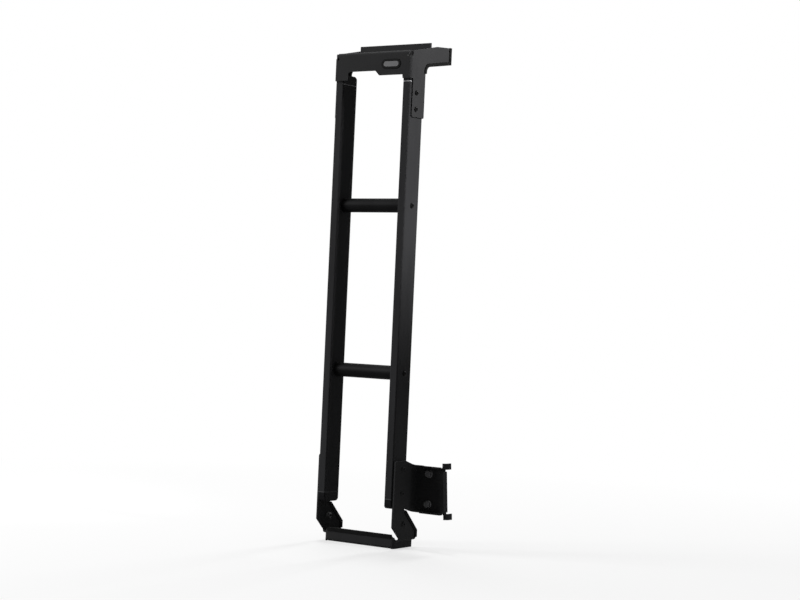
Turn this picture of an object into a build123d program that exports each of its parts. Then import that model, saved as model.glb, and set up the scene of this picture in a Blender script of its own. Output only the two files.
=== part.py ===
"""Vehicle ladder: two extruded rails, two rungs and three folded sheet brackets.

Frame, in millimetres: +X to the ladder's right, +Y towards the side it is fixed on, +Z up along the
rails. The origin is on the bolting face of the hinge bracket, midway between its two bolt holes.
"""

import os
from math import radians, tan

from build123d import *

# Rails and their end caps
RAIL_WIDTH = 18.0
RAIL_DEPTH = 48.0
RAIL_WALL = 2.4
RAIL_CORNER = 3.0
RAIL_LENGTH = 820.0
RAIL_PITCH = 161.0
CAP_HEIGHT = 18.0
CAP_ROUND = 11.0
CAP_PLUG = 14.0
CAP_FIT = 0.2

# Rungs
RUNG_DIAMETER = 28.0
RUNG_WALL = 2.2
RUNG_BOSS = 13.0
RUNG_RIBS = 3
LOWER_RUNG_HEIGHT = 265.0
RUNG_SPACING = 330.0

# Folded sheet and fixings
SHEET = 3.0
BEND = 2.5
FLANGE_GAP = 1.5
BOLT_HOLE = 6.6
TRIM_SIDE = 2.0
TRIM_COVER = 5.0
TRIM_FIT = 0.1

# Top bracket
PLATE_RISE = 60.0
PLATE_HEIGHT = 38.0
PLATE_LEG_RISE = 5.0
PLATE_LEG_LEFT = 30.0
PLATE_LEG_RIGHT = 18.0
PLATE_LEG_ROUND = 6.0
BADGE_DROP = 9.5
BADGE_START = 96.0
SLOT_LENGTH = 36.0
SLOT_HEIGHT = 11.0
SLOT_IN = 45.5
SLOT_DOWN = 26.0
FLANGE_REACH = 75.0
FLANGE_RISE = 1.0
LIP_HEIGHT = 23.5
CORNER_GAP = 4.0
CORNER_RELIEF = 11.0
CORNER_HOLE = 7.0
ARM_REACH = 136.0
ARM_DEPTH = 32.5
ARM_RISE = 10.4
ARM_DROP = 2.0
ARM_KNEE_REACH = 88.0
ARM_KNEE_LIFT = 4.5
ARM_ROUND = 14.0
SIDE_LEG_LENGTH = 70.0
SIDE_LEG_SETBACK = 5.0
SIDE_LEG_ROUND = 3.0
SIDE_BOLT_IN = 18.0
SIDE_BOLT_DOWN = 22.5
SIDE_BOLT_SPACING = 32.0

# Lower bracket
FOOT_LEG_HEIGHT = 94.0
FOOT_LEG_DEPTH = 40.0
FOOT_SETBACK = 3.0
FOOT_HEEL_DROP = 36.0
FOOT_HEEL_REACH = 28.5
FOOT_DROP = 80.0
FOOT_REACH = 87.0
FOOT_KNEE_DROP = 46.0
FOOT_STEP_DROP = 63.5
FOOT_ROUND = 4.0
FOOT_BOLT_IN = 40.0
FOOT_BOLT_DROP = 31.0
FOOT_TRIM_START = 8.0
TRAY_WIDTH = 167.0
CROSSBAR_SETBACK = 22.0
CROSSBAR_HEIGHT = 25.5
LEG_BOLT_IN = 26.0
LEG_BOLT_LOW = 30.0
LEG_BOLT_SPACING = 48.0

# Hinge bracket
HINGE_STANDOFF = 20.0
HINGE_BOLT_REACH = 132.0
HINGE_BOLT_HEIGHT = 40.0
HINGE_BOLT_SPACING = 60.0
HINGE_BOLT_HOLE = 9.0
HINGE_FLANGE_HEIGHT = 94.0
HINGE_BEND = 9.0
HINGE_WEB_WIDTH = 81.0
HINGE_END_LEAN = 4.0
HINGE_WEB_BELOW = 48.0
HINGE_WEB_ABOVE = 45.0
HINGE_SLOPE_START = 36.0
HINGE_ROUND = 4.0
HINGE_NECK = 22.0
HINGE_LIP = 10.0
HINGE_LIP_INSET = 12.0
HINGE_RETURN_INSET = 7.0
HINGE_HOOK = 12.0
HINGE_HOOK_HEIGHT = 12.0
HINGE_HOOK_OUT = 8.5

# Places worked out from the sizes above
MID_X = -HINGE_BOLT_REACH
REAR_Y = -(RAIL_DEPTH + HINGE_STANDOFF)
FRONT_Y = REAR_Y + RAIL_DEPTH
FOOT_Z = -HINGE_BOLT_HEIGHT
TUBE_BOTTOM = FOOT_Z + CAP_HEIGHT
TUBE_TOP = TUBE_BOTTOM + RAIL_LENGTH
RAIL_Y = (REAR_Y + FRONT_Y) / 2
OUTER = (RAIL_PITCH + RAIL_WIDTH) / 2
INNER = (RAIL_PITCH - RAIL_WIDTH) / 2
PLATE_TOP = TUBE_TOP + PLATE_RISE
ARM_SLOPE = tan(radians(ARM_RISE))
FLANGE_SLOPE = tan(radians(FLANGE_RISE))
FOLD = SHEET + BEND
FOOT_BOTTOM = FOOT_Z - FOOT_DROP
STEP_Z = FOOT_Z - FOOT_STEP_DROP
BAR_Y = REAR_Y + CROSSBAR_SETBACK
BAR_TOP = FOOT_BOTTOM + CROSSBAR_HEIGHT
BAR_HALF = TRAY_WIDTH / 2 - FOLD - FLANGE_GAP
LEFT, RIGHT = -1, 1
SIDES = {"left": LEFT, "right": RIGHT}
FAR = 2000.0

# Rubber edging, then the groove in it: width, depths inside and outside the sheet's edge
EDGING = (
    (SHEET + 2 * TRIM_SIDE, TRIM_COVER, TRIM_SIDE, Mode.ADD),
    (SHEET + 2 * TRIM_FIT, 2 * TRIM_COVER, TRIM_FIT, Mode.SUBTRACT),
)


def save(part, name):
    """Label a finished piece and write it as its own node."""
    part.label = name
    export_step(part, f"parts/{name}.step")


def rail_middle(side):
    """Upright plane through the middle of a rail, facing +X."""
    return Plane.YZ.offset(MID_X + side * RAIL_PITCH / 2)


def top_bolt_places():
    """Side bolts of the top bracket: heights below the tube's upper end."""
    first = TUBE_TOP - SIDE_BOLT_DOWN
    return [(REAR_Y + SIDE_BOLT_IN, first), (REAR_Y + SIDE_BOLT_IN, first - SIDE_BOLT_SPACING)]


def leg_bolt_places():
    """Bolts that hold the lower bracket's legs, and the hinge bracket, on the rails."""
    first = FOOT_Z + LEG_BOLT_LOW
    return [(REAR_Y + LEG_BOLT_IN, first), (REAR_Y + LEG_BOLT_IN, first + LEG_BOLT_SPACING)]


def rung_heights():
    """Heights of the rungs' axes."""
    lower = FOOT_Z + LOWER_RUNG_HEIGHT
    return {"lower_rung": lower, "upper_rung": lower + RUNG_SPACING}


def make_rail(side):
    """Hollow rectangular extrusion with bolt and rung holes."""
    with BuildPart() as rail:
        with BuildSketch(Plane.XY.offset(TUBE_BOTTOM)):
            with Locations((MID_X + side * RAIL_PITCH / 2, RAIL_Y)):
                RectangleRounded(RAIL_WIDTH, RAIL_DEPTH, RAIL_CORNER)
                Rectangle(RAIL_WIDTH - 2 * RAIL_WALL, RAIL_DEPTH - 2 * RAIL_WALL, mode=Mode.SUBTRACT)
        extrude(amount=RAIL_LENGTH)
        with BuildSketch(rail_middle(side)):
            with Locations(*top_bolt_places(), *leg_bolt_places()):
                Circle(BOLT_HOLE / 2)
        extrude(amount=side * RAIL_WIDTH, mode=Mode.SUBTRACT)
        with BuildSketch(Plane.YZ.offset(MID_X + side * INNER - side * SHEET)):
            with Locations(*[(RAIL_Y, z) for z in rung_heights().values()]):
                Circle(BOLT_HOLE / 2)
        extrude(amount=side * (RAIL_WIDTH + 2 * SHEET), mode=Mode.SUBTRACT)
    return rail.part


def make_cap(side, end_z, outward):
    """Moulded cap: a rounded head on the tube's end and a plug inside it."""
    with BuildPart() as cap:
        with BuildSketch(Plane.XY.offset(end_z)):
            with Locations((MID_X + side * RAIL_PITCH / 2, RAIL_Y)):
                RectangleRounded(RAIL_WIDTH, RAIL_DEPTH, RAIL_CORNER)
        extrude(amount=outward * CAP_HEIGHT)
        with BuildSketch(rail_middle(side)) as outline:
            with Locations((RAIL_Y, end_z + outward * CAP_HEIGHT / 2)):
                Rectangle(RAIL_DEPTH, CAP_HEIGHT)
            fillet(outline.vertices().group_by(Axis.Y)[-1 if outward > 0 else 0], CAP_ROUND)
        extrude(amount=RAIL_WIDTH, both=True, mode=Mode.INTERSECT)
        plug_width = RAIL_WIDTH - 2 * RAIL_WALL - 2 * CAP_FIT
        plug_depth = RAIL_DEPTH - 2 * RAIL_WALL - 2 * CAP_FIT
        with BuildSketch(Plane.XY.offset(end_z)):
            with Locations((MID_X + side * RAIL_PITCH / 2, RAIL_Y)):
                Rectangle(plug_width, plug_depth)
                Rectangle(plug_width - 2 * RAIL_WALL, plug_depth - 2 * RAIL_WALL, mode=Mode.SUBTRACT)
        extrude(amount=-outward * CAP_PLUG)
    return cap.part


def make_rung(height):
    """Round extrusion with a screw boss on ribs down its middle."""
    with BuildPart() as rung:
        with BuildSketch(Plane.YZ.offset(MID_X - INNER)):
            with Locations((RAIL_Y, height)):
                Circle(RUNG_DIAMETER / 2)
                Circle(RUNG_DIAMETER / 2 - RUNG_WALL, mode=Mode.SUBTRACT)
                Circle(RUNG_BOSS / 2)
                with PolarLocations((RUNG_DIAMETER - RUNG_WALL) / 4, RUNG_RIBS, start_angle=90):
                    Rectangle((RUNG_DIAMETER - RUNG_WALL) / 2, RUNG_WALL)
                Circle(BOLT_HOLE / 2, mode=Mode.SUBTRACT)
        extrude(amount=2 * INNER)
    return rung.part


def arm_top(y):
    """Height of the side plates' sloping upper edge at a distance ahead of the rails' rear face."""
    return PLATE_TOP - ARM_DROP + y * ARM_SLOPE


def make_top_bracket():
    """Rear plate, side plates with legs and arms, and a rising flange with a lip."""
    half = OUTER + SHEET / 2
    arm_end = REAR_Y + ARM_REACH
    leg_bottom = TUBE_TOP - SIDE_LEG_LENGTH
    plate_bottom = TUBE_TOP + PLATE_LEG_RISE
    with BuildPart() as bracket:
        # Rear plate and both side plates, folded as one channel
        with BuildSketch(Plane.XY.offset(leg_bottom)):
            with BuildLine():
                FilletPolyline(
                    (MID_X - half, arm_end),
                    (MID_X - half, REAR_Y - SHEET / 2),
                    (MID_X + half, REAR_Y - SHEET / 2),
                    (MID_X + half, arm_end),
                    radius=BEND + SHEET / 2,
                )
            trace(line_width=SHEET)
        extrude(amount=arm_top(ARM_REACH) - leg_bottom)
        # Outline of the side plates seen from the side
        with BuildSketch(Plane.YZ.offset(MID_X)) as outline:
            with BuildLine():
                Polyline(
                    (REAR_Y + SIDE_LEG_SETBACK, leg_bottom),
                    (FRONT_Y, leg_bottom),
                    (FRONT_Y, arm_top(RAIL_DEPTH) - ARM_DEPTH),
                    (arm_end, arm_top(ARM_REACH) - ARM_DEPTH),
                    (arm_end, arm_top(ARM_REACH)),
                    (REAR_Y + ARM_KNEE_REACH, arm_top(ARM_KNEE_REACH) + ARM_KNEE_LIFT),
                    (REAR_Y - 2 * SHEET, arm_top(-2 * SHEET)),
                    (REAR_Y - 2 * SHEET, plate_bottom),
                    (REAR_Y + SIDE_LEG_SETBACK, plate_bottom),
                    close=True,
                )
            make_face()
            armpit = (FRONT_Y, arm_top(RAIL_DEPTH) - ARM_DEPTH)
            fillet(outline.vertices().sort_by_distance(armpit)[0], ARM_ROUND)
            fillet(outline.vertices().group_by(Axis.Y)[0], SIDE_LEG_ROUND)
        extrude(amount=2 * OUTER, both=True, mode=Mode.INTERSECT)
        # Lower edge of the rear plate, with its deeper part on the right
        with BuildSketch(Plane.XZ.offset(-REAR_Y - SHEET)) as edge:
            left_x = MID_X - OUTER + PLATE_LEG_LEFT
            right_x = MID_X + OUTER - PLATE_LEG_RIGHT
            edge_z = PLATE_TOP - PLATE_HEIGHT
            badge_x = MID_X - OUTER + BADGE_START
            with BuildLine():
                Polyline(
                    (left_x, leg_bottom),
                    (left_x, edge_z),
                    (badge_x, edge_z),
                    (badge_x + BADGE_DROP, edge_z - BADGE_DROP),
                    (right_x, edge_z - BADGE_DROP),
                    (right_x + BADGE_DROP, leg_bottom),
                    close=True,
                )
            make_face()
            fillet(edge.vertices().sort_by_distance((left_x, edge_z))[0], PLATE_LEG_ROUND)
        extrude(amount=2 * SHEET + BEND, both=True, mode=Mode.SUBTRACT)
        # Bend relief across the top, then the flange folded forward from the rear plate
        with BuildSketch(Plane.XY.offset(PLATE_TOP - CORNER_RELIEF)):
            with Locations((MID_X, REAR_Y - SHEET)):
                Rectangle(4 * OUTER, 2 * FOLD)
        extrude(amount=FAR, mode=Mode.SUBTRACT)
        flange_end = PLATE_TOP + FLANGE_REACH * FLANGE_SLOPE
        with BuildSketch(Plane.YZ.offset(MID_X)):
            with BuildLine():
                FilletPolyline(
                    (REAR_Y - SHEET / 2, PLATE_TOP - PLATE_HEIGHT),
                    (REAR_Y - SHEET / 2, PLATE_TOP - SHEET / 2),
                    (REAR_Y + FLANGE_REACH, flange_end - SHEET / 2),
                    (REAR_Y + FLANGE_REACH, flange_end + LIP_HEIGHT),
                    radius=BEND + SHEET / 2,
                )
            trace(line_width=SHEET)
        extrude(amount=OUTER - CORNER_GAP, both=True)
        # Plain oblong slot through the deeper part of the rear plate, and the bends' corner holes
        with BuildSketch(Plane.XZ.offset(-REAR_Y)):
            with Locations((MID_X + OUTER - SLOT_IN, PLATE_TOP - SLOT_DOWN)):
                SlotOverall(SLOT_LENGTH, SLOT_HEIGHT)
            with Locations((MID_X, PLATE_TOP - CORNER_RELIEF)):
                with GridLocations(2 * (OUTER - CORNER_GAP), 0, 2, 1):
                    Circle(CORNER_HOLE / 2)
        extrude(amount=2 * SHEET, both=True, mode=Mode.SUBTRACT)
        for side in SIDES.values():
            with BuildSketch(rail_middle(side)):
                with Locations(*top_bolt_places()):
                    Circle(BOLT_HOLE / 2)
            extrude(amount=side * RAIL_WIDTH, mode=Mode.SUBTRACT)
    return bracket.part


def beside(points, shift):
    """The points of a path, moved to its left."""
    ways = [(b - a).normalized() for a, b in zip(points, points[1:])]
    lefts = [Vector(-way.Y, way.X) for way in ways]
    mitres = [(a + b) * (1 / (1 + a.dot(b))) for a, b in zip(lefts, lefts[1:])]
    return [point + out * shift for point, out in zip(points, [lefts[0], *mitres, lefts[-1]])]


def make_edging(side, points, rounds=()):
    """Rubber edging pressed on a side plate, along points with the plate on their right."""
    with BuildPart() as trim:
        for width, inside, outside, mode in EDGING:
            shift = (outside - inside) / 2
            corners = beside(points, shift)
            with BuildSketch(Plane.YZ.offset(MID_X + side * (OUTER + SHEET / 2))):
                with BuildLine() as path:
                    Polyline(*corners)
                    for place, radius in rounds:
                        fillet(path.vertices().sort_by_distance(corners[place])[0], radius - shift)
                trace(line_width=inside + outside)
            extrude(amount=width / 2, both=True, mode=mode)
    return trim.part


def make_arm_trim(side):
    """Edging down the front end of an arm, along its lower edge and round to just above the cap."""
    top = Vector(REAR_Y + ARM_REACH, arm_top(ARM_REACH))
    corner = top - Vector(0, ARM_DEPTH)
    armpit = Vector(FRONT_Y, arm_top(RAIL_DEPTH) - ARM_DEPTH)
    leg = armpit - Vector(0, PLATE_RISE)
    with BuildPart() as trim:
        add(make_edging(side, [top, corner, armpit, leg], rounds=[(2, ARM_ROUND)]))
        split(bisect_by=Plane.XY.offset(TUBE_TOP + CAP_HEIGHT + FLANGE_GAP), keep=Keep.TOP)
    return trim.part


def foot_edge():
    """Front edge of a foot, which takes its edging, from the diagonal down to the step."""
    hip = Vector(REAR_Y + FOOT_LEG_DEPTH, FOOT_Z)
    knee = Vector(REAR_Y + FOOT_REACH, FOOT_Z - FOOT_KNEE_DROP)
    toe = Vector(REAR_Y + FOOT_REACH, STEP_Z + SHEET / 2 + BEND)
    return hip, knee, toe


def make_lower_bracket():
    """Two dog-legged feet, stepped in below to a tray with a crossbar behind it."""
    hip, knee, toe = foot_edge()
    leg_top = FOOT_Z + FOOT_LEG_HEIGHT
    plate = OUTER + SHEET / 2
    wall = (TRAY_WIDTH - SHEET) / 2
    with BuildPart() as bracket:
        # Feet, and the steps from them to the side walls of the tray
        for side in SIDES.values():
            with BuildSketch(Plane.XZ.offset(-RAIL_Y)):
                with BuildLine():
                    FilletPolyline(
                        (MID_X + side * plate, leg_top),
                        (MID_X + side * plate, STEP_Z),
                        (MID_X + side * wall, STEP_Z),
                        (MID_X + side * wall, FOOT_BOTTOM),
                        radius=BEND + SHEET / 2,
                    )
                trace(line_width=SHEET)
            extrude(amount=FOOT_REACH, both=True)
        # Outline of the feet and the side walls seen from the side
        with BuildSketch(Plane.YZ.offset(MID_X)) as outline:
            with BuildLine():
                Polyline(
                    (REAR_Y + FOOT_SETBACK, leg_top),
                    (hip.X, leg_top),
                    (hip.X, hip.Y),
                    (knee.X, knee.Y),
                    (toe.X, FOOT_BOTTOM),
                    (BAR_Y + FOLD, FOOT_BOTTOM),
                    (BAR_Y + FOLD, toe.Y),
                    (REAR_Y + FOOT_HEEL_REACH, toe.Y),
                    (REAR_Y + FOOT_SETBACK, FOOT_Z - FOOT_HEEL_DROP),
                    close=True,
                )
            make_face()
            fillet(outline.vertices().group_by(Axis.Y)[-1], FOOT_ROUND)
        extrude(amount=TRAY_WIDTH, both=True, mode=Mode.INTERSECT)
        # Corners of the tray, folded from its side walls into the crossbar
        with BuildSketch(Plane.XY.offset(FOOT_BOTTOM)):
            with BuildLine():
                FilletPolyline(
                    (MID_X - wall, BAR_Y + FOLD + FLANGE_GAP),
                    (MID_X - wall, BAR_Y + SHEET / 2),
                    (MID_X + wall, BAR_Y + SHEET / 2),
                    (MID_X + wall, BAR_Y + FOLD + FLANGE_GAP),
                    radius=BEND + SHEET / 2,
                )
            trace(line_width=SHEET)
        extrude(amount=CROSSBAR_HEIGHT)
        # Upper edge of the corners, down from the crossbar's to the step
        for side in SIDES.values():
            with BuildSketch(Plane.XZ.offset(-BAR_Y)):
                with BuildLine():
                    Polyline(
                        (MID_X + side * (TRAY_WIDTH / 2 - FOLD), BAR_TOP),
                        (MID_X + side * TRAY_WIDTH / 2, BAR_TOP),
                        (MID_X + side * TRAY_WIDTH / 2, STEP_Z + SHEET / 2),
                        close=True,
                    )
                make_face()
            extrude(amount=-2 * FOLD, mode=Mode.SUBTRACT)
        # Bend relief along the lower edge, then the crossbar and the floor folded forward from it
        with BuildSketch(Plane.XY.offset(FOOT_BOTTOM)):
            with Locations((MID_X, BAR_Y)):
                Rectangle(2 * (BAR_HALF + FLANGE_GAP), 2 * FOLD)
        extrude(amount=FOLD, mode=Mode.SUBTRACT)
        with BuildSketch(Plane.YZ.offset(MID_X)):
            with BuildLine():
                FilletPolyline(
                    (BAR_Y + SHEET / 2, BAR_TOP),
                    (BAR_Y + SHEET / 2, FOOT_BOTTOM + SHEET / 2),
                    (toe.X, FOOT_BOTTOM + SHEET / 2),
                    radius=BEND + SHEET / 2,
                )
            trace(line_width=SHEET)
        extrude(amount=BAR_HALF, both=True)
        for side in SIDES.values():
            with BuildSketch(rail_middle(side)):
                with Locations(*leg_bolt_places(), (REAR_Y + FOOT_BOLT_IN, FOOT_Z - FOOT_BOLT_DROP)):
                    Circle(BOLT_HOLE / 2)
            extrude(amount=side * RAIL_WIDTH, mode=Mode.SUBTRACT)
    return bracket.part


def make_foot_trim(side):
    """Edging on a foot's front edge."""
    hip, knee, toe = foot_edge()
    return make_edging(side, [hip + (knee - hip).normalized() * FOOT_TRIM_START, knee, toe])


def make_crossbar_trim():
    """Rubber edging pressed on the crossbar's upper edge."""
    with BuildPart() as trim:
        for width, inside, outside, mode in EDGING:
            with BuildSketch(Plane.YZ.offset(MID_X)):
                with Locations((BAR_Y + SHEET / 2, BAR_TOP + (outside - inside) / 2)):
                    Rectangle(width, inside + outside)
            extrude(amount=BAR_HALF, both=True, mode=mode)
    return trim.part


def make_hinge_bracket():
    """Flange on the right rail, and a tray-like web that bolts to the hinge."""
    flange_x = MID_X + OUTER + SHEET + SHEET / 2
    neck_x = flange_x + SHEET / 2 + HINGE_NECK
    end_x = flange_x + SHEET / 2 + HINGE_WEB_WIDTH
    end = Plane((end_x, 0, 0)).rotated((0, -HINGE_END_LEAN, 0))
    web_y = -SHEET / 2
    lip_y = -SHEET - HINGE_LIP
    low, high = -HINGE_WEB_BELOW, HINGE_WEB_ABOVE
    flange_low, flange_high = FOOT_Z, FOOT_Z + HINGE_FLANGE_HEIGHT
    slope_y = REAR_Y + HINGE_SLOPE_START
    with BuildPart() as bracket:
        # Flange and web folded as one angle
        with BuildSketch(Plane.XY.offset(low)):
            with BuildLine():
                FilletPolyline(
                    (flange_x, REAR_Y),
                    (flange_x, web_y),
                    (end_x + HINGE_WEB_BELOW, web_y),
                    radius=HINGE_BEND + SHEET / 2,
                )
            trace(line_width=SHEET)
        extrude(amount=flange_high - low)
        # Outline seen from the side: the flange tapers to the web
        with BuildSketch(Plane.YZ.offset(flange_x)) as outline:
            with BuildLine():
                Polyline(
                    (REAR_Y, flange_low),
                    (REAR_Y, flange_high),
                    (slope_y, flange_high),
                    (-SHEET, high),
                    (SHEET, high),
                    (SHEET, low),
                    (-SHEET, low),
                    (slope_y, flange_low),
                    close=True,
                )
            make_face()
            fillet(outline.vertices().group_by(Axis.X)[0], HINGE_ROUND)
        extrude(amount=2 * HINGE_WEB_WIDTH, both=True, mode=Mode.INTERSECT)
        # Far end of the web, leaning outwards towards its foot
        with BuildSketch(end.offset(-FAR / 2)):
            with Locations((FAR / 2 - FOLD, 0)):
                Rectangle(FAR, FAR)
        extrude(amount=FAR, mode=Mode.SUBTRACT)
        # Upper and lower lips of the tray, folded back towards the ladder past bend reliefs
        for edge, inward in ((high, -1), (low, 1)):
            lip_end = end.from_local_coords((-HINGE_LIP_INSET, 0, edge)).X
            with BuildSketch(Plane.XZ):
                with Locations(((neck_x + lip_end) / 2, edge)):
                    Rectangle(lip_end - neck_x, 2 * FOLD)
            extrude(amount=2 * SHEET, both=True, mode=Mode.SUBTRACT)
            with BuildSketch(Plane.YZ.offset(neck_x + FLANGE_GAP)):
                with BuildLine():
                    FilletPolyline(
                        (web_y, edge + inward * 2 * FOLD),
                        (web_y, edge + inward * SHEET / 2),
                        (lip_y, edge + inward * SHEET / 2),
                        radius=BEND + SHEET / 2,
                    )
                trace(line_width=SHEET)
            extrude(amount=lip_end - neck_x - 2 * FLANGE_GAP)
        # Far end: a return folded back, and above and below it a hook folded forward
        upper_hook = high + HINGE_HOOK_OUT - HINGE_HOOK_HEIGHT
        tabs = (
            (low + HINGE_RETURN_INSET, high - low - 2 * HINGE_RETURN_INSET, lip_y),
            (low - HINGE_HOOK_OUT, HINGE_HOOK_HEIGHT, HINGE_HOOK),
            (upper_hook, HINGE_HOOK_HEIGHT, HINGE_HOOK),
        )
        for start_z, height, reach_y in tabs:
            with BuildSketch(end.offset(start_z)):
                with BuildLine():
                    FilletPolyline(
                        (-2 * FOLD, web_y),
                        (-SHEET / 2, web_y),
                        (-SHEET / 2, reach_y),
                        radius=BEND + SHEET / 2,
                    )
                trace(line_width=SHEET)
            extrude(amount=height)
        # Bolt holes to the hinge, and to the rail
        with BuildSketch(Plane.XZ):
            with GridLocations(0, HINGE_BOLT_SPACING, 1, 2):
                Circle(HINGE_BOLT_HOLE / 2)
        extrude(amount=2 * SHEET, both=True, mode=Mode.SUBTRACT)
        with BuildSketch(rail_middle(RIGHT)):
            with Locations(*leg_bolt_places()):
                Circle(BOLT_HOLE / 2)
        extrude(amount=RAIL_WIDTH, mode=Mode.SUBTRACT)
    return bracket.part


def main():
    os.makedirs("parts", exist_ok=True)
    for word, side in SIDES.items():
        save(make_rail(side), f"{word}_rail")
        save(make_cap(side, TUBE_TOP, 1), f"{word}_rail_top_cap")
        save(make_cap(side, TUBE_BOTTOM, -1), f"{word}_rail_bottom_cap")
        save(make_arm_trim(side), f"{word}_arm_trim")
        save(make_foot_trim(side), f"{word}_foot_trim")
    for name, height in rung_heights().items():
        save(make_rung(height), name)
    save(make_top_bracket(), "top_bracket")
    save(make_lower_bracket(), "lower_bracket")
    save(make_crossbar_trim(), "crossbar_trim")
    save(make_hinge_bracket(), "hinge_bracket")


main()
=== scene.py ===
"""Finish, fasteners, light and camera for the vehicle ladder, in metres in the part's own frame."""

import math

import bmesh
import bpy
from mathutils import Matrix, Vector


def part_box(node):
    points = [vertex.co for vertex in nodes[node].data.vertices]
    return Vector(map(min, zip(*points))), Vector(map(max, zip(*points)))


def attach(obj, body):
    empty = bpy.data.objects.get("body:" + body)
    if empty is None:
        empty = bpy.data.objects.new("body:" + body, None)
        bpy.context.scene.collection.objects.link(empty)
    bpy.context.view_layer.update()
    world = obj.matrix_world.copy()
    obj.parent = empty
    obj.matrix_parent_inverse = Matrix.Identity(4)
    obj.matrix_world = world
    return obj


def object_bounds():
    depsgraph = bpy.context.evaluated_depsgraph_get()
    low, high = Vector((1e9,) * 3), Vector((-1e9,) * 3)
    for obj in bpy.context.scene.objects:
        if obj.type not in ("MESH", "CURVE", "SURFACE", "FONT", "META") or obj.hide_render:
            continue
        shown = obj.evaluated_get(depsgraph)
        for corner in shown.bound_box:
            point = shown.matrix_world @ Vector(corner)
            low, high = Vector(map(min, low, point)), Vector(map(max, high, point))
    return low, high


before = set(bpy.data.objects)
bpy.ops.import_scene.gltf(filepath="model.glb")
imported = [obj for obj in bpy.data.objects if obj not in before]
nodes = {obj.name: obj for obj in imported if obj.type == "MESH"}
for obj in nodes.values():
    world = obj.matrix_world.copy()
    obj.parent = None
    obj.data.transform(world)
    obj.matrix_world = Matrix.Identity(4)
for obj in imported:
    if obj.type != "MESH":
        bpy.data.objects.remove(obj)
cad_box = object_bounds()

# Camera: its place, the true upright beside the leaning ladder, how far below the ladder's middle
# it aims, and the lens and sensor in millimetres
EYE = Vector((1.887, -2.949, 0.336))
UPRIGHT = Vector((0.004, -0.087, 0.996))
AIM_DROP = 0.012
LENS = 80.0
SENSOR = 36.0

# Sheet thickness, cap height and fastener places, as in the part
SIDES = {"left": -1, "right": 1}
SHEET = 0.003
CAP_HEIGHT = 0.018
TOP_BOLT_IN = 0.018
TOP_BOLT_DOWN = 0.0225
TOP_BOLT_SPACING = 0.032
LEG_BOLT_IN = 0.026
LEG_BOLT_LOW = 0.030
LEG_BOLT_SPACING = 0.048
FOOT_BOLT_IN = 0.040
FOOT_BOLT_DROP = 0.031
HINGE_BOLT_SPACING = 0.060

# Button heads: radii, and the hexagon socket's half width across flats
SMALL_BOLT = 0.0030
SMALL_HEAD = 0.0052
SMALL_HEAD_HEIGHT = 0.0032
SMALL_HEAD_RIM = 0.0006
SOCKET_MOUTH = 0.0026
SOCKET_FLATS = 0.0020
SOCKET_DEPTH = 0.0019
SOCKET_POINT = 0.0006

# Flanged lock nuts, with their collars' radii as shares of the half width across flats
NUT_FLATS = 0.0050
NUT_FLANGE = 0.0062
NUT_SEAT_SHARE = 0.96
NUT_FLANGE_HEIGHT = 0.0012
NUT_HEIGHT = 0.0060
NUT_FIT = 0.0001
COLLAR_HEIGHT = 0.0013
COLLAR_BEVEL = 0.0005
COLLAR_FOOT_SHARE = 0.90
COLLAR_EDGE_SHARE = 0.86
COLLAR_TOP_SHARE = 0.74
BOLT_PAST_NUT = 0.0025

# Flanged hinge bolts, with the dish in their heads as shares of the half width across flats
HINGE_BOLT = 0.0040
HINGE_BOLT_LENGTH = 0.018
HEAD_FLATS = 0.0065
HEAD_FLANGE = 0.0085
HEAD_SEAT_SHARE = 0.98
HEAD_FLANGE_HEIGHT = 0.0013
HEAD_HEIGHT = 0.0058
HEAD_BEVEL = 0.0007
HEAD_CROWN_SHARE = 0.93
DISH_RIM_SHARE = 0.72
DISH_FLOOR_SHARE = 0.66

# Threads, with the start and end of a crest as shares of the pitch, and the shank's tapered tip
THREAD_PITCH = 0.00115
THREAD_DEPTH = 0.0006
CREST_START = 0.45
CREST_END = 0.60
TIP_SHARE = 0.8

# Shared by all pieces: steps round and over a dome, a small edge, a hexagon's reach at its corners,
# the angle in degrees up to which faces shade smoothly, and how near counts as on an axis
ROUND_STEPS = 36
DOME_STEPS = 6
CHAMFER = 0.0004
CORNER_SHARE = 1.16
SMOOTH_ANGLE = 32.0
ON_AXIS = 1e-9

# Height of the painted highlight band at a rail's cut ends
END_HIGHLIGHT_BAND = 0.0016

# Bare badge in the top plate's slot: the slot's place and size, and the frame round it
PLATE_RISE = 0.060
SLOT_IN = 0.0455
SLOT_DOWN = 0.026
SLOT_SIZE = (0.036, 0.011)
BADGE_FIT = 0.0001
BADGE_FRAME = 0.0045
BADGE_PROUD = 0.0012
BADGE_FRAME_EDGE = 0.0004
BADGE_PLATE_EDGE = 0.0003

# Edge masks for the coat's painted highlight and the fasteners' paler worn edges: samples, and the
# cosine between rounded and true normals on flat faces and on edges
EDGE_SAMPLES = 6
EDGE_FLAT = 0.97
EDGE_SHARP = 0.75

# Floor: half its width, and how far out its white glow grows from a share to the whole
FLOOR_HALF = 14.0
GLOW_NEAR = 0.2
GLOW_FAR = 1.9
GLOW_SHARE = 0.66

# Strength of the surroundings' own light, and the spot's soft edge and size
WORLD_LIGHT = 0.06
SPOT_BLEND = 0.2
SPOT_RADIUS = 0.12

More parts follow.
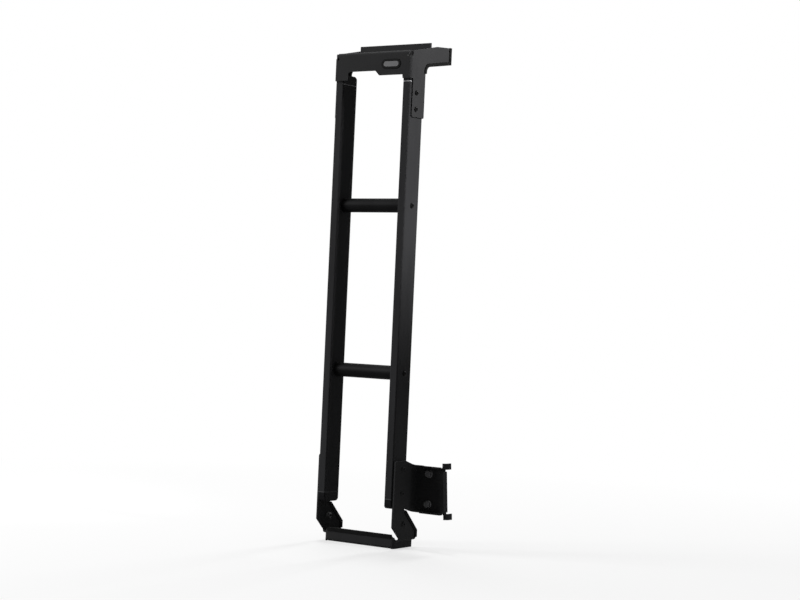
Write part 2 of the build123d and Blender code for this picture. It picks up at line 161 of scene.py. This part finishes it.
# Colours, as linear light
COAT_DARK = (0.030, 0.030, 0.031, 1.0)
COAT_LIGHT = (0.043, 0.043, 0.044, 1.0)
# Painted highlight colour for the coat's edges, where light catches them
COAT_EDGE_HIGHLIGHT = (0.075, 0.075, 0.077, 1.0)
RAIL_DARK = (0.027, 0.027, 0.028, 1.0)
RAIL_LIGHT = (0.038, 0.038, 0.040, 1.0)
RUNG_DARK = (0.006, 0.006, 0.0063, 1.0)
RUNG_LIGHT = (0.010, 0.010, 0.0105, 1.0)
# Painted highlight colour for the rungs' upper side
RUNG_HIGHLIGHT = (0.028, 0.028, 0.029, 1.0)
CAP_DARK = (0.010, 0.010, 0.011, 1.0)
CAP_LIGHT = (0.016, 0.016, 0.017, 1.0)
RUBBER_DARK = (0.008, 0.008, 0.008, 1.0)
RUBBER_LIGHT = (0.014, 0.014, 0.014, 1.0)
STEEL_DARK = (0.022, 0.022, 0.023, 1.0)
STEEL_LIGHT = (0.060, 0.060, 0.063, 1.0)
# Painted highlights at the rails' top and bottom ends
TOP_END_HIGHLIGHT = (0.42, 0.42, 0.43, 1.0)
BOTTOM_END_HIGHLIGHT = (0.09, 0.09, 0.092, 1.0)
OXIDE_DARK = (0.006, 0.006, 0.006, 1.0)
OXIDE_LIGHT = (0.022, 0.022, 0.023, 1.0)
BADGE_DARK = (0.003, 0.003, 0.003, 1.0)
BADGE_GREY = (0.085, 0.085, 0.088, 1.0)
BADGE_LIGHT = (0.115, 0.115, 0.118, 1.0)
FLOOR_PALE = (0.85, 0.85, 0.85, 1.0)
FLOOR_BOUNCE = (0.22, 0.22, 0.22, 1.0)
WHITE = (1.0, 1.0, 1.0, 1.0)


class Nodes:
    """Short calls for building the node tree of a material or of the world."""

    def __init__(self, owner):
        owner.use_nodes = True
        self.owner = owner
        self.tree = owner.node_tree

    def add(self, kind, inputs=None, **settings):
        """Add a node, set its fields and its inputs, and link inputs that are sockets."""
        node = self.tree.nodes.new(kind)
        for field, value in settings.items():
            setattr(node, field, value)
        for key, value in (inputs or {}).items():
            self.set(node.inputs[key], value)
        return node

    def set(self, socket, value):
        """Link a socket to another one, or give it a value."""
        if isinstance(value, bpy.types.NodeSocket):
            self.tree.links.new(value, socket)
        else:
            socket.default_value = value

    def finish(self, **inputs):
        """Set the surface shader's inputs by their names, with underscores for spaces."""
        shader = self.tree.nodes["Principled BSDF"]
        for key, value in inputs.items():
            self.set(shader.inputs[key.replace("_", " ")], value)
        return self.owner

    def place(self):
        """Each point's place in the object's own frame."""
        return self.add("ShaderNodeTexCoord").outputs["Object"]

    def noise(self, scale, detail, stretch=None):
        """Noise with features about 1/scale metres across, stretched along an axis where asked."""
        place = self.place()
        if stretch:
            place = self.add("ShaderNodeMapping", {"Vector": place, "Scale": stretch}).outputs[0]
        made = self.add("ShaderNodeTexNoise", {"Vector": place, "Scale": scale, "Detail": detail})
        return made.outputs["Fac"]

    def patches(self, scale, detail, low=0.35, high=0.65, stretch=None):
        """Soft patches of 0 to 1: noise spread out between two of its levels."""
        return self.ramp(self.noise(scale, detail, stretch), low, high)

    def ramp(self, value, low, high):
        """Spread the stretch of a value between low and high over 0 to 1."""
        made = self.add("ShaderNodeMapRange", {"Value": value, "From Min": low, "From Max": high})
        return made.outputs[0]

    def between(self, value, low, high):
        """Turn a value of 0 to 1 into one from low to high."""
        made = self.add("ShaderNodeMapRange", {"Value": value, "To Min": low, "To Max": high})
        return made.outputs[0]

    def mix(self, share, first, second):
        """Mix two colours."""
        made = self.add("ShaderNodeMix", data_type="RGBA")
        self.set(made.inputs["Factor"], share)
        self.set(made.inputs["A"], first)
        self.set(made.inputs["B"], second)
        return made.outputs["Result"]

    def math(self, operation, first, second):
        """Work out one value from two."""
        return self.add("ShaderNodeMath", {0: first, 1: second}, operation=operation).outputs[0]

    def times(self, first, second):
        """Multiply two values."""
        return self.math("MULTIPLY", first, second)

    def edges(self, radius):
        """How near a point is to a sharp edge, from 0 on flat faces to 1 on the edge."""
        rounded = self.add("ShaderNodeBevel", {"Radius": radius}, samples=EDGE_SAMPLES).outputs[0]
        flat = self.add("ShaderNodeNewGeometry").outputs["True Normal"]
        made = self.add("ShaderNodeVectorMath", {0: rounded, 1: flat}, operation="DOT_PRODUCT")
        return self.ramp(made.outputs["Value"], EDGE_FLAT, EDGE_SHARP)

    def bump(self, height, depth, under=None):
        """Relief of a depth in metres, laid over another relief where one is given."""
        inputs = {"Height": height, "Strength": 1.0, "Distance": depth}
        if under:
            inputs["Normal"] = under
        return self.add("ShaderNodeBump", inputs).outputs[0]

    def seen(self):
        """1 for rays that show a surface, straight or mirrored, and 0 for the light it gives."""
        path = self.add("ShaderNodeLightPath").outputs
        mirrored = self.math("MAXIMUM", path["Is Glossy Ray"], path["Is Transmission Ray"])
        return self.math("MAXIMUM", path["Is Camera Ray"], mirrored)


def new_material(name):
    """Start a material's node tree."""
    return Nodes(bpy.data.materials.new(name))


def powder_coat():
    """Fine textured black powder coat on folded sheet, with a painted highlight along its edges."""
    m = new_material("powder_coat")
    cloud = m.patches(scale=9.0, detail=4.0)
    speck = m.patches(scale=1400.0, detail=1.0, low=0.45, high=0.75)
    tone = m.mix(m.times(cloud, 0.6), COAT_DARK, COAT_LIGHT)
    tone = m.mix(m.times(speck, 0.35), tone, COAT_LIGHT)
    # Painted highlight: the coat's edges are lightened where light would catch them
    tone = m.mix(m.times(m.edges(radius=0.0009), 0.5), tone, COAT_EDGE_HIGHLIGHT)
    rough = m.between(cloud, 0.58, 0.68)
    peel = m.bump(m.noise(scale=520.0, detail=1.0), depth=0.00012)
    grain = m.bump(m.noise(scale=1700.0, detail=2.0), depth=0.00008, under=peel)
    return m.finish(Base_Color=tone, Roughness=rough, Specular_IOR_Level=0.015, Normal=grain)


def coated_rail():
    """Black coated extrusion with faint die lines, a bright painted highlight band at the top end
    and a fainter one at the bottom end.
    """
    m = new_material("coated_rail")
    cloud = m.patches(scale=6.0, detail=3.0, stretch=(3.0, 3.0, 0.6))
    lines = m.noise(scale=900.0, detail=2.0, stretch=(1.0, 1.0, 0.006))
    tone = m.mix(cloud, RAIL_DARK, RAIL_LIGHT)
    tone = m.mix(m.times(m.ramp(lines, 0.5, 0.8), 0.25), tone, COAT_LIGHT)
    low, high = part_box("right_rail")
    place = m.add("ShaderNodeSeparateXYZ", {0: m.place()}).outputs
    # Painted highlight: on the left rail the band at the top end shows only on its inner side
    inward = m.math("GREATER_THAN", place["X"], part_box("left_rail")[1].x - END_HIGHLIGHT_BAND)
    top_highlight = m.math("GREATER_THAN", place["Z"], high.z - END_HIGHLIGHT_BAND)
    bottom_highlight = m.math("LESS_THAN", place["Z"], low.z + END_HIGHLIGHT_BAND)
    # Painted highlight: a light band at the top end and a fainter band at the bottom end
    tone = m.mix(m.times(top_highlight, inward), tone, TOP_END_HIGHLIGHT)
    tone = m.mix(bottom_highlight, tone, BOTTOM_END_HIGHLIGHT)
    rough = m.between(cloud, 0.52, 0.60)
    drawn = m.bump(lines, depth=0.00004)
    relief = m.bump(m.noise(scale=700.0, detail=1.0), depth=0.00006, under=drawn)
    return m.finish(Base_Color=tone, Roughness=rough, Specular_IOR_Level=0.015, Normal=relief)


def coated_rung():
    """Black coated round tube, with a painted highlight band along its upper side, smoother there.
    """
    m = new_material("coated_rung")
    cloud = m.patches(scale=16.0, detail=4.0, low=0.3, high=0.7)
    lines = m.noise(scale=800.0, detail=2.0, stretch=(0.01, 1.0, 1.0))
    normal = m.add("ShaderNodeNewGeometry").outputs["Normal"]
    lift = m.add("ShaderNodeSeparateXYZ", {0: normal}).outputs["Z"]
    # Painted highlight: a lighter, smoother band on the tube's upper side where the lamps'
    # highlight would fall
    highlight_band = m.times(m.ramp(lift, -0.1, 0.4), m.ramp(lift, 1.05, 0.4))
    painted_highlight = m.times(highlight_band, m.between(cloud, 0.6, 1.0))
    tone = m.mix(cloud, RUNG_DARK, RUNG_LIGHT)
    tone = m.mix(painted_highlight, tone, RUNG_HIGHLIGHT)
    rough = m.between(painted_highlight, 0.5, 0.36)
    relief = m.bump(lines, depth=0.00005)
    return m.finish(Base_Color=tone, Roughness=rough, Specular_IOR_Level=0.02, Normal=relief)


def moulded_cap():
    """Moulded black plastic with a fine spark-eroded grain."""
    m = new_material("moulded_cap")
    cloud = m.patches(scale=60.0, detail=3.0)
    grain = m.add("ShaderNodeTexVoronoi", {"Vector": m.place(), "Scale": 1500.0})
    tone = m.mix(cloud, CAP_DARK, CAP_LIGHT)
    rough = m.between(cloud, 0.40, 0.52)
    relief = m.bump(grain.outputs["Distance"], depth=0.00005)
    return m.finish(Base_Color=tone, Roughness=rough, Specular_IOR_Level=0.02, Normal=relief)


def rubber():
    """Matt black rubber edging with a slight bloom."""
    m = new_material("rubber")
    bloom = m.patches(scale=110.0, detail=5.0, low=0.4, high=0.75)
    tone = m.mix(bloom, RUBBER_DARK, RUBBER_LIGHT)
    rough = m.between(bloom, 0.72, 0.86)
    relief = m.bump(m.noise(scale=900.0, detail=2.0), depth=0.00008)
    return m.finish(Base_Color=tone, Roughness=rough, Specular_IOR_Level=0.03, Normal=relief)


def blackened_steel():
    """Black passivated fasteners, paler on their worked edges."""
    m = new_material("blackened_steel")
    cloud = m.patches(scale=240.0, detail=3.0, high=0.7)
    worn = m.math("MAXIMUM", m.times(cloud, 0.4), m.edges(radius=0.0005))
    tone = m.mix(worn, STEEL_DARK, STEEL_LIGHT)
    rough = m.between(cloud, 0.34, 0.48)
    relief = m.bump(m.noise(scale=2200.0, detail=1.0), depth=0.00003)
    return m.finish(Base_Color=tone, Roughness=rough, Metallic=0.55, Normal=relief)


def black_oxide():
    """Dull black oxide on the small screws, with faintly paler edges."""
    m = new_material("black_oxide")
    cloud = m.patches(scale=300.0, detail=3.0, high=0.7)
    worn = m.math("MAXIMUM", m.times(cloud, 0.3), m.times(m.edges(radius=0.0004), 0.6))
    tone = m.mix(worn, OXIDE_DARK, OXIDE_LIGHT)
    rough = m.between(cloud, 0.44, 0.58)
    relief = m.bump(m.noise(scale=2400.0, detail=1.0), depth=0.00003)
    return m.finish(Base_Color=tone, Roughness=rough, Specular_IOR_Level=0.04, Normal=relief)


def badge_black():
    """Smooth black surround of the badge."""
    m = new_material("badge_black")
    cloud = m.patches(scale=180.0, detail=3.0)
    tone = m.mix(cloud, BADGE_DARK, OXIDE_DARK)
    rough = m.between(cloud, 0.34, 0.46)
    relief = m.bump(m.noise(scale=1500.0, detail=1.0), depth=0.00003)
    return m.finish(Base_Color=tone, Roughness=rough, Specular_IOR_Level=0.03, Normal=relief)


def badge_grey():
    """Plain grey badge metal with a fine brushed grain."""
    m = new_material("badge_grey")
    lines = m.noise(scale=1600.0, detail=2.0, stretch=(0.05, 1.0, 1.0))
    cloud = m.patches(scale=140.0, detail=3.0)
    tone = m.mix(m.times(cloud, 0.5), BADGE_GREY, BADGE_LIGHT)
    rough = m.between(lines, 0.42, 0.55)
    relief = m.bump(lines, depth=0.00002)
    return m.finish(Base_Color=tone, Roughness=rough, Specular_IOR_Level=0.3, Normal=relief)


def dress(names, material):
    """Give CAD nodes a finish."""
    for name in names:
        slots = nodes[name].data.materials
        slots.clear()
        slots.append(material)


def dress_ladder(coat):
    """Give each node of the ladder its finish, with the brackets' coat made beforehand."""
    dress(["top_bracket", "lower_bracket", "hinge_bracket"], coat)
    dress([f"{side}_rail" for side in SIDES], coated_rail())
    dress(["upper_rung", "lower_rung"], coated_rung())
    dress([f"{side}_rail_{end}_cap" for side in SIDES for end in ("top", "bottom")], moulded_cap())
    trims = [f"{side}_{part}_trim" for side in SIDES for part in ("arm", "foot")]
    dress([*trims, "crossbar_trim"], rubber())


def ring(radius, height, hexagonal=False):
    """Points round +Z: a circle of a radius, or a hexagon with that half width across flats."""
    points = []
    for step in range(ROUND_STEPS):
        angle = 2 * math.pi * step / ROUND_STEPS
        reach = radius
        if hexagonal:
            from_flat = (angle + math.pi / 6) % (math.pi / 3) - math.pi / 6
            reach = radius / math.cos(from_flat)
        points.append(Vector((reach * math.cos(angle), reach * math.sin(angle), height)))
    return points


def oblong(length, width, height):
    """Points round a slot-shaped outline along X, of an overall length and width."""
    radius = width / 2
    shift = length / 2 - radius
    points = []
    for point in ring(radius, height):
        aside = math.copysign(shift, point.x) if abs(point.x) > ON_AXIS else 0.0
        points.append(point + Vector((aside, 0, 0)))
    return points


def add_stack(mesh, rings, loop=False):
    """Skin a row of rings, with flat faces over the first and last, or joined end to end."""
    rows = [[mesh.verts.new(point) for point in points] for points in rings]
    pairs = list(zip(rows, rows[1:]))
    if loop:
        pairs.append((rows[-1], rows[0]))
    for below, above in pairs:
        for i in range(ROUND_STEPS):
            j = (i + 1) % ROUND_STEPS
            mesh.faces.new((below[i], below[j], above[j], above[i]))
    if not loop:
        mesh.faces.new(list(reversed(rows[0])))
        mesh.faces.new(rows[-1])


def add_button_head(mesh):
    """Domed head with a hexagon socket, standing on height 0."""
    rise = SMALL_HEAD_HEIGHT - SMALL_HEAD_RIM
    floor = SMALL_HEAD_HEIGHT - SOCKET_DEPTH
    rings = [ring(SMALL_HEAD - SMALL_HEAD_RIM / 2, 0.0), ring(SMALL_HEAD, SMALL_HEAD_RIM)]
    for step in range(1, DOME_STEPS + 1):
        turn = math.pi / 2 * step / DOME_STEPS
        reach = SOCKET_MOUTH + (SMALL_HEAD - SOCKET_MOUTH) * math.cos(turn)
        rings.append(ring(reach, SMALL_HEAD_RIM + rise * math.sin(turn)))
    rings.append(ring(SOCKET_FLATS, SMALL_HEAD_HEIGHT - CHAMFER, hexagonal=True))
    rings.append(ring(SOCKET_FLATS, floor, hexagonal=True))
    rings.append(ring(SOCKET_POINT, floor - CHAMFER))
    add_stack(mesh, rings)


def add_hex_head(mesh):
    """Flanged hexagon head with a dished top, standing on height 0."""
    add_stack(mesh, [
        ring(HEAD_SEAT_SHARE * HEAD_FLANGE, 0.0),
        ring(HEAD_FLANGE, HEAD_FLANGE_HEIGHT / 2),
        ring(CORNER_SHARE * HEAD_FLATS, HEAD_FLANGE_HEIGHT),
        ring(HEAD_FLATS, HEAD_FLANGE_HEIGHT + CHAMFER, hexagonal=True),
        ring(HEAD_FLATS, HEAD_HEIGHT - HEAD_BEVEL, hexagonal=True),
        ring(HEAD_CROWN_SHARE * HEAD_FLATS, HEAD_HEIGHT),
        ring(DISH_RIM_SHARE * HEAD_FLATS, HEAD_HEIGHT),
        ring(DISH_FLOOR_SHARE * HEAD_FLATS, HEAD_HEIGHT - CHAMFER),
    ])


def add_shank(mesh, radius, start, end):
    """Threaded shank from a height down to another, with a tapered tip."""
    root = radius - THREAD_DEPTH
    turns = int((start - end) / THREAD_PITCH)
    rings = []
    for turn in range(turns):
        foot = start - turn * THREAD_PITCH
        rings.append(ring(root, foot))
        rings.append(ring(radius, foot - CREST_START * THREAD_PITCH))
        rings.append(ring(radius, foot - CREST_END * THREAD_PITCH))
    rings.append(ring(root, start - turns * THREAD_PITCH))
    rings.append(ring(TIP_SHARE * root, end))
    add_stack(mesh, rings)


def add_lock_nut(mesh):
    """Flanged lock nut with a rounded collar over its insert, standing on height 0."""
    bore = SMALL_BOLT + NUT_FIT
    collar = NUT_HEIGHT - COLLAR_HEIGHT
    add_stack(mesh, [
        ring(bore, 0.0),
        ring(NUT_SEAT_SHARE * NUT_FLANGE, 0.0),
        ring(NUT_FLANGE, NUT_FLANGE_HEIGHT / 2),
        ring(CORNER_SHARE * NUT_FLATS, NUT_FLANGE_HEIGHT),
        ring(NUT_FLATS, NUT_FLANGE_HEIGHT + CHAMFER, hexagonal=True),
        ring(NUT_FLATS, collar - COLLAR_BEVEL, hexagonal=True),
        ring(COLLAR_FOOT_SHARE * NUT_FLATS, collar),
        ring(COLLAR_EDGE_SHARE * NUT_FLATS, NUT_HEIGHT - CHAMFER),
        ring(COLLAR_TOP_SHARE * NUT_FLATS, NUT_HEIGHT),
        ring(bore, NUT_HEIGHT),
    ], loop=True)


def add_badge_frame(mesh):
    """Raised oblong frame that lies on the plate round its slot."""
    inner = [size - 2 * BADGE_FIT for size in SLOT_SIZE]
    outer = [size + 2 * BADGE_FRAME for size in SLOT_SIZE]
    shoulder = BADGE_PROUD - BADGE_FRAME_EDGE
    add_stack(mesh, [
        oblong(*inner, 0.0),
        oblong(*outer, 0.0),
        oblong(*outer, shoulder),
        oblong(*[size - 2 * BADGE_FRAME_EDGE for size in outer], BADGE_PROUD),
        oblong(*[size + 2 * BADGE_FRAME_EDGE for size in inner], BADGE_PROUD),
        oblong(*inner, shoulder),
    ], loop=True)


def add_badge_plate(mesh):
    """Bare oblong insert in the slot, a little proud of the plate and as deep as the sheet."""
    outline = [size - 2 * BADGE_FIT for size in SLOT_SIZE]
    top = BADGE_PROUD / 2
    add_stack(mesh, [
        oblong(*outline, -SHEET),
        oblong(*outline, top - BADGE_PLATE_EDGE),
        oblong(*[size - 2 * BADGE_PLATE_EDGE for size in outline], top),
    ])


def place_piece(name, parts, place, axis, material):
    """Make one piece from part functions and their sizes, with its +Z turned along an axis."""
    mesh = bmesh.new()
    for add_part, *sizes in parts:
        add_part(mesh, *sizes)
    bmesh.ops.recalc_face_normals(mesh, faces=mesh.faces)
    data = bpy.data.meshes.new(name)
    mesh.to_mesh(data)
    mesh.free()
    turn = Vector((0, 0, 1)).rotation_difference(Vector(axis)).to_matrix().to_4x4()
    data.transform(Matrix.Translation(place) @ turn)
    data.materials.append(material)
    data.shade_smooth()
    data.set_sharp_from_angle(angle=math.radians(SMOOTH_ANGLE))
    piece = bpy.data.objects.new(name, data)
    bpy.context.scene.collection.objects.link(piece)
    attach(piece, "root")


def make_fasteners(steel, oxide, coat):
    """Bolts, screws and nuts, seated on the faces that they hold."""
    button = [(add_button_head,)]
    nut = [(add_lock_nut,)]
    foot_tip = -SHEET - NUT_HEIGHT - BOLT_PAST_NUT
    foot_bolt = [*button, (add_shank, SMALL_BOLT, -SHEET, foot_tip)]
    hinge_bolt = [(add_hex_head,), (add_shank, HINGE_BOLT, 0.0, -HINGE_BOLT_LENGTH)]
    for word, side in SIDES.items():
        low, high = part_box(f"{word}_rail")
        outer = (high if side > 0 else low).x
        middle = (low.y + high.y) / 2
        foot = low.z - CAP_HEIGHT
        axis = (side, 0, 0)
        sheet_face = outer + side * SHEET
        # The hinge bracket's flange lies on the right leg, under the heads
        leg_face = sheet_face + (SHEET if side > 0 else 0.0)
        for count in range(2):
            height = high.z - TOP_BOLT_DOWN - count * TOP_BOLT_SPACING
            spot = Vector((sheet_face, low.y + TOP_BOLT_IN, height))
            place_piece(f"{word}_top_bolt_{count + 1}", button, spot, axis, oxide)
            height = foot + LEG_BOLT_LOW + count * LEG_BOLT_SPACING
            spot = Vector((leg_face, low.y + LEG_BOLT_IN, height))
            place_piece(f"{word}_leg_bolt_{count + 1}", button, spot, axis, coat)
        for rung in ("lower_rung", "upper_rung"):
            rung_low, rung_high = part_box(rung)
            spot = Vector((outer, middle, (rung_low.z + rung_high.z) / 2))
            place_piece(f"{word}_{rung}_screw", button, spot, axis, oxide)
        spot = Vector((sheet_face, low.y + FOOT_BOLT_IN, foot - FOOT_BOLT_DROP))
        place_piece(f"{word}_foot_bolt", foot_bolt, spot, axis, coat)
        inside = Vector((outer, spot.y, spot.z))
        place_piece(f"{word}_foot_nut", nut, inside, (-side, 0, 0), steel)
    for word, end in (("lower", -1), ("upper", 1)):
        spot = Vector((0.0, -SHEET, end * HINGE_BOLT_SPACING / 2))
        place_piece(f"hinge_{word}_bolt", hinge_bolt, spot, (0, -1, 0), steel)


def make_badge(frame_material, plate_material):
    """Bare badge in the slot of the top plate."""
    low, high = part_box("right_rail")
    spot = Vector((high.x - SLOT_IN, low.y - SHEET, high.z + PLATE_RISE - SLOT_DOWN))
    place_piece("badge_frame", [(add_badge_frame,)], spot, (0, -1, 0), frame_material)
    place_piece("badge_plate", [(add_badge_plate,)], spot, (0, -1, 0), plate_material)


def make_floor(height):
    """Wide pale floor that shows white to the camera and keeps the ladder's shadow."""
    signs = ((-1, -1), (1, -1), (1, 1), (-1, 1))
    corners = [(x * FLOOR_HALF, y * FLOOR_HALF, height) for x, y in signs]
    data = bpy.data.meshes.new("floor")
    data.from_pydata(corners, [], [(0, 1, 2, 3)])
    floor = bpy.data.objects.new("floor", data)
    bpy.context.scene.collection.objects.link(floor)
    m = new_material("floor")
    shown = m.seen()
    pale = m.mix(shown, FLOOR_BOUNCE, FLOOR_PALE)
    shade = m.add("ShaderNodeBsdfDiffuse", {"Color": pale}).outputs[0]
    glow = m.add("ShaderNodeEmission", {"Color": WHITE, "Strength": 1.0}).outputs[0]
    out = m.add("ShaderNodeVectorMath", {0: m.place()}, operation="LENGTH").outputs["Value"]
    white = m.between(m.ramp(out, GLOW_NEAR, GLOW_FAR), GLOW_SHARE, 1.0)
    both = m.add("ShaderNodeMixShader", {0: m.times(shown, white), 1: shade, 2: glow})
    m.set(m.tree.nodes["Material Output"].inputs["Surface"], both.outputs[0])
    data.materials.append(m.owner)


def make_world():
    """White surroundings to look at, and a weaker even light from them."""
    world = bpy.data.worlds.new("studio")
    bpy.context.scene.world = world
    m = Nodes(world)
    background = m.tree.nodes["Background"].inputs
    m.set(background["Color"], WHITE)
    m.set(background["Strength"], m.between(m.seen(), WORLD_LIGHT, 1.0))


def make_lamp(data, place, aim, power):
    """Stand a lamp at a place and point it at another."""
    data.energy = power
    lamp = bpy.data.objects.new(data.name, data)
    lamp.location = place
    lamp.visible_camera = False
    lamp.rotation_euler = (Vector(aim) - Vector(place)).to_track_quat("-Z", "Y").to_euler()
    bpy.context.scene.collection.objects.link(lamp)
    return lamp


def make_panel(name, place, aim, size, power, spread=180.0):
    """Soft rectangular lamp, width by height, with its beam's spread in degrees."""
    data = bpy.data.lights.new(name, "AREA")
    data.shape = "RECTANGLE"
    data.size, data.size_y = size
    data.spread = math.radians(spread)
    make_lamp(data, place, aim, power)


def make_spot(name, place, aim, beam, power):
    """Soft-edged spot with a beam in degrees, which isn't mirrored in what it lights."""
    data = bpy.data.lights.new(name, "SPOT")
    data.spot_size = math.radians(beam)
    data.spot_blend = SPOT_BLEND
    data.shadow_soft_size = SPOT_RADIUS
    make_lamp(data, place, aim, power).visible_glossy = False


def make_lamps():
    """A spot on the right side's upper part, a weak lamp on its foot, and three wide soft ones."""
    make_spot("side", (1.5, -0.045, 1.3), aim=(-0.04, -0.045, 0.84), beam=32.0, power=168.0)
    make_panel(
        "low", (1.6, -0.06, -0.02), aim=(-0.04, -0.04, -0.07), size=(0.24, 0.16),
        power=0.085, spread=26.0,
    )
    make_panel("left", (-2.6, -1.9, 1.3), aim=(-0.13, -0.04, 0.45), size=(1.3, 1.6), power=86.0)
    make_panel("top", (-0.45, 0.2, 2.4), aim=(-0.2, 0.0, 0.5), size=(0.4, 1.0), power=26.0)
    make_panel("front", (-0.35, 3.0, 2.6), aim=(-0.13, 0.0, 0.4), size=(0.6, 1.4), power=70.0)


def make_camera():
    """Camera where the photograph was taken from, turned to the middle of the ladder."""
    low, high = cad_box
    middle = (Vector(low) + Vector(high)) / 2 - Vector((0, 0, AIM_DROP))
    ahead = (middle - EYE).normalized()
    right = ahead.cross(UPRIGHT).normalized()
    above = right.cross(ahead)
    data = bpy.data.cameras.new("camera")
    data.sensor_fit = "HORIZONTAL"
    data.sensor_width = SENSOR
    data.lens = LENS
    camera = bpy.data.objects.new("camera", data)
    turn = Matrix((right, above, -ahead)).transposed()
    camera.matrix_world = Matrix.Translation(EYE) @ turn.to_4x4()
    bpy.context.scene.collection.objects.link(camera)
    bpy.context.scene.camera = camera


bracket_coat = powder_coat()
dress_ladder(bracket_coat)
make_fasteners(blackened_steel(), black_oxide(), bracket_coat)
make_badge(badge_black(), badge_grey())
make_floor(cad_box[0][2])
make_world()
make_lamps()
make_camera()
bpy.context.scene.view_settings.view_transform = "Standard"
